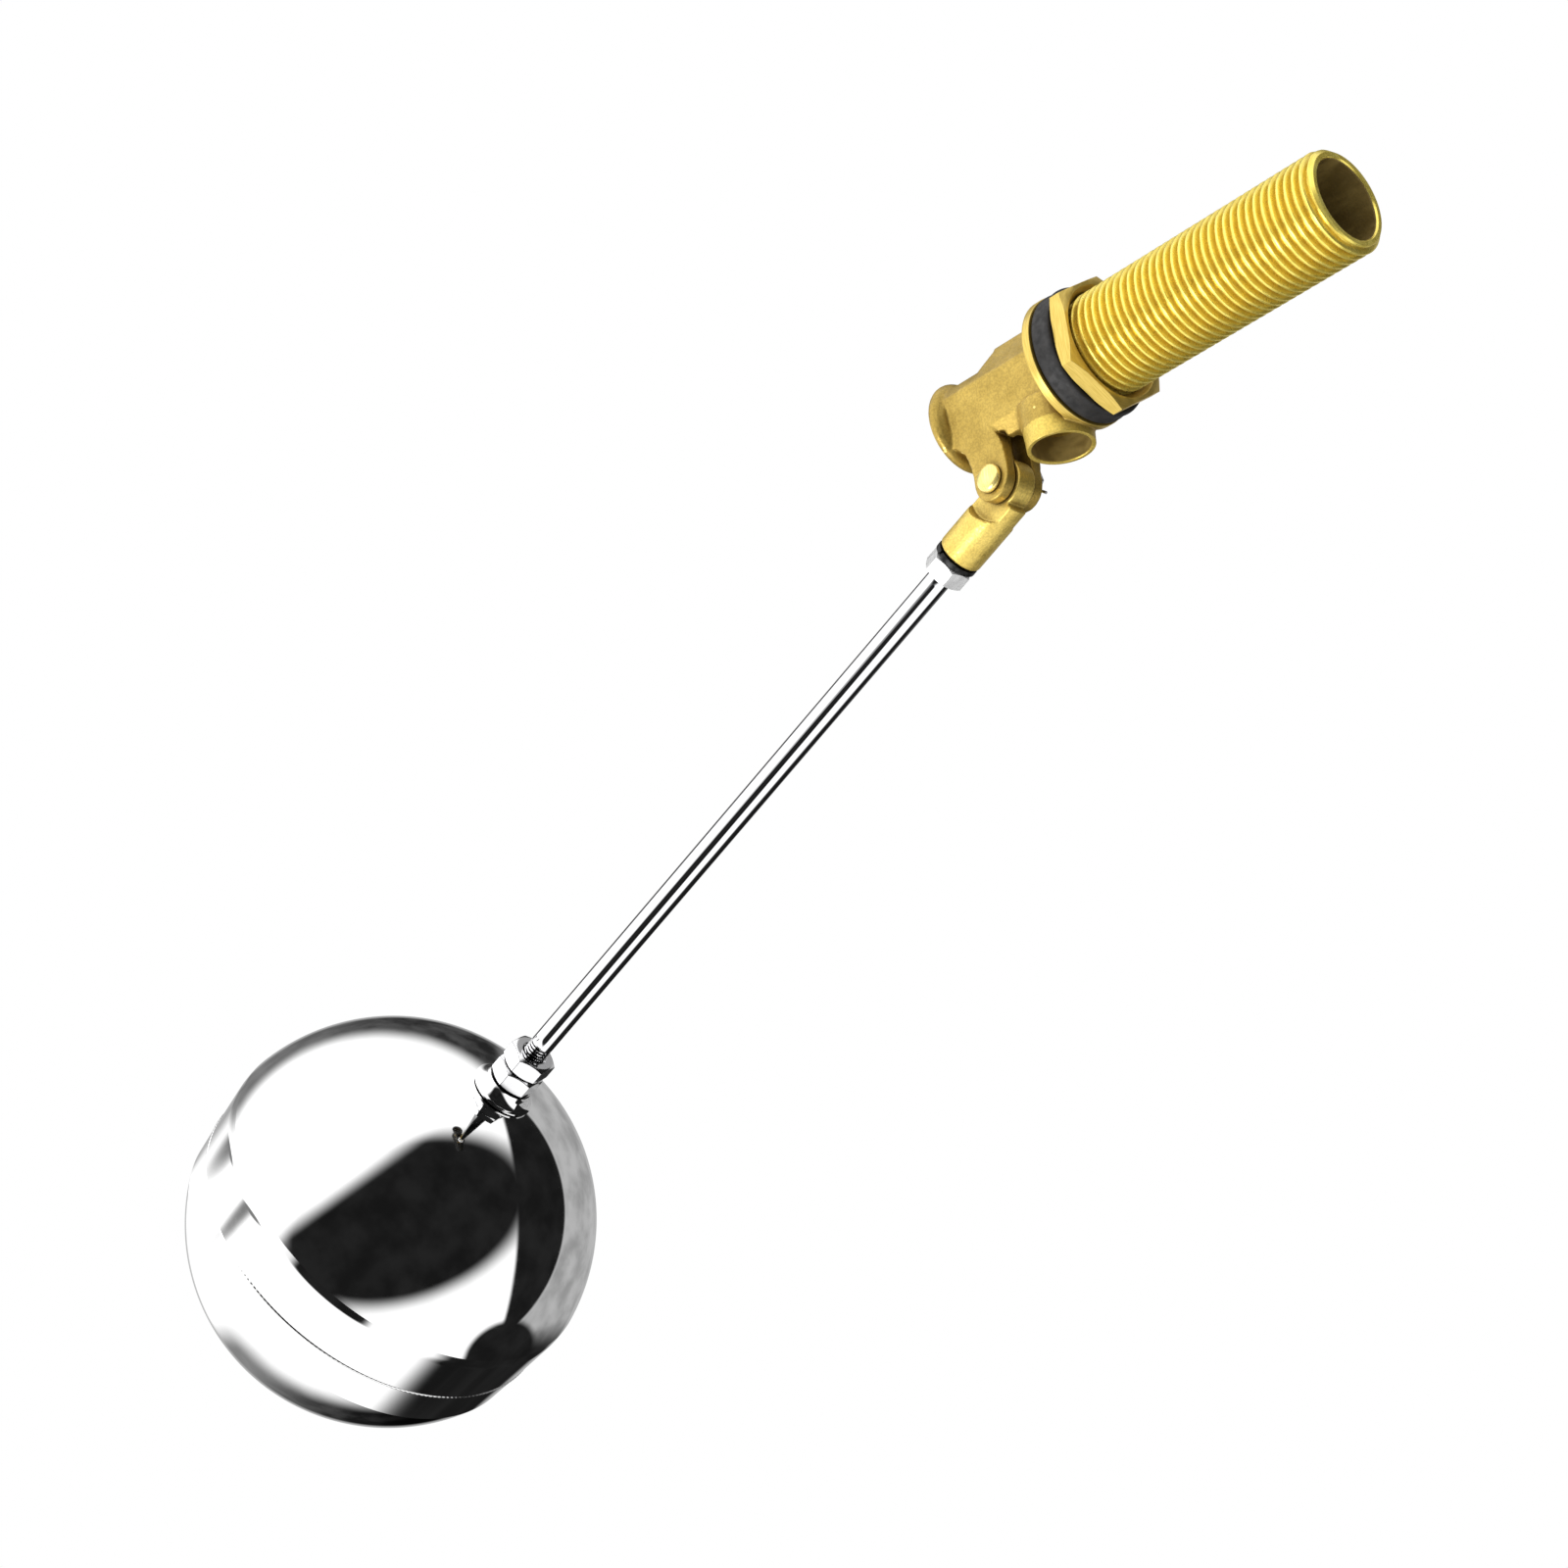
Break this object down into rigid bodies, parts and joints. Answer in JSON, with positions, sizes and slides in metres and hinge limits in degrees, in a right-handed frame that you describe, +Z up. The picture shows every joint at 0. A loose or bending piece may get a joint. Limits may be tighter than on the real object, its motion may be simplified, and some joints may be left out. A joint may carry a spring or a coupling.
{
  "type": "float valve",
  "caption": "Lever float valve: long threaded inlet spigot with flange, gasket and nut, downward outlet, piston, pivoting lever and a hollow ball float on a rod.",
  "frame": {"origin": "on the inlet's end face, at the top of its ring, where the supply pipe's washer seats (the inlet axis lies 8.65 mm below)", "axes": "+X along the inlet thread towards the supply pipe, +Z up, outlet pointing down; the lever's pivot pin lies along Y"},
  "size_m": [0.3408, 0.0906, 0.1621],
  "materials": {
    "cast_brass": "fine-grained satin brass casting",
    "machined_brass": "turned and milled brass, bright",
    "black_rubber": "matte moulded rubber",
    "bright_chrome": "mirror-bright plating",
    "polished_stainless": "polished stainless sheet, mirror-like",
    "stainless_wire": "drawn stainless wire",
    "blackened_steel": "black oxide spring steel"
  },
  "bodies": {
    "valve": {"valve_body": "cast_brass", "mounting_gasket": "black_rubber", "pivot_pin": "machined_brass", "cotter_pin": "stainless_wire"},
    "clamp_nut": {"mounting_nut": "machined_brass"},
    "piston_unit": {"piston": "machined_brass", "seat_washer": "black_rubber"},
    "float_arm": {"lever_arm": "cast_brass", "arm_lock_washer": "blackened_steel", "arm_lock_nut": "bright_chrome", "float_rod": "bright_chrome", "float_lock_nut": "bright_chrome", "float_boss_nut": "bright_chrome", "boss_collar": "polished_stainless", "float_upper_shell": "polished_stainless", "float_lower_shell": "polished_stainless", "seam_weld": "polished_stainless"}
  },
  "joints": [
    {"name": "lever_pivot", "type": "hinge", "parent": "valve", "child": "float_arm", "pos_m": [-0.0883, 0, -0.02525], "axis": [0, 1, 0], "range_deg": [-22, 14]},
    {"name": "piston_slide", "type": "slide", "parent": "valve", "child": "piston_unit", "axis": [1, 0, 0], "range_m": [-0.0059, 0.0038]},
    {"name": "clamp_nut_travel", "type": "slide", "parent": "valve", "child": "clamp_nut", "axis": [1, 0, 0], "range_m": [0, 0.05]}
  ],
  "couplings": [
    {"joint": "piston_slide", "follows": "lever_pivot", "m_per_rad": 0.0152}
  ]
}
